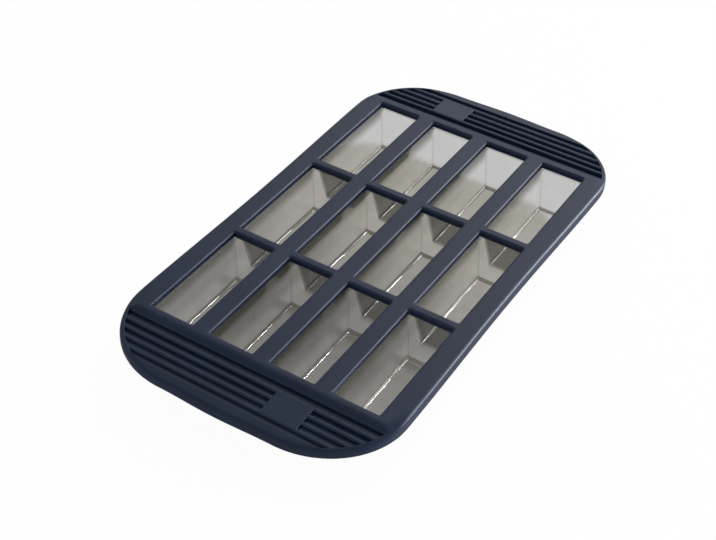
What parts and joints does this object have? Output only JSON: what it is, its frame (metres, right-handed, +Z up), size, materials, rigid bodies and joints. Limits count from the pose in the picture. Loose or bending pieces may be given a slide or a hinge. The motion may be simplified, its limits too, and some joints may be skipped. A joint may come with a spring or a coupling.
{
  "type": "mini cake mould",
  "caption": "Silicone baking mould: stiff-rimmed dark deck with ribbed end grips over a grid of tapered, flat-bottomed translucent loaf cups.",
  "frame": {"origin": "centre of the mould in plan, on the surface that the cups stand on", "axes": "+Z up, towards the open mouths; +Y along the mould's length, from one ribbed grip to the other; +X across it"},
  "size_m": [0.1852, 0.3478, 0.0348],
  "materials": {
    "deck_silicone": "matt navy moulded silicone",
    "cup_silicone": "translucent satin silicone",
    "wire_steel": "drawn stainless wire"
  },
  "bodies": {
    "root": {"deck": "deck_silicone", "rim_wire": "wire_steel", "cup_row1_col1": "cup_silicone", "cup_row1_col2": "cup_silicone", "cup_row1_col3": "cup_silicone", "cup_row1_col4": "cup_silicone", "cup_row2_col1": "cup_silicone", "cup_row2_col2": "cup_silicone", "cup_row2_col3": "cup_silicone", "cup_row2_col4": "cup_silicone", "cup_row3_col1": "cup_silicone", "cup_row3_col2": "cup_silicone", "cup_row3_col3": "cup_silicone", "cup_row3_col4": "cup_silicone"}
  },
  "joints": []
}
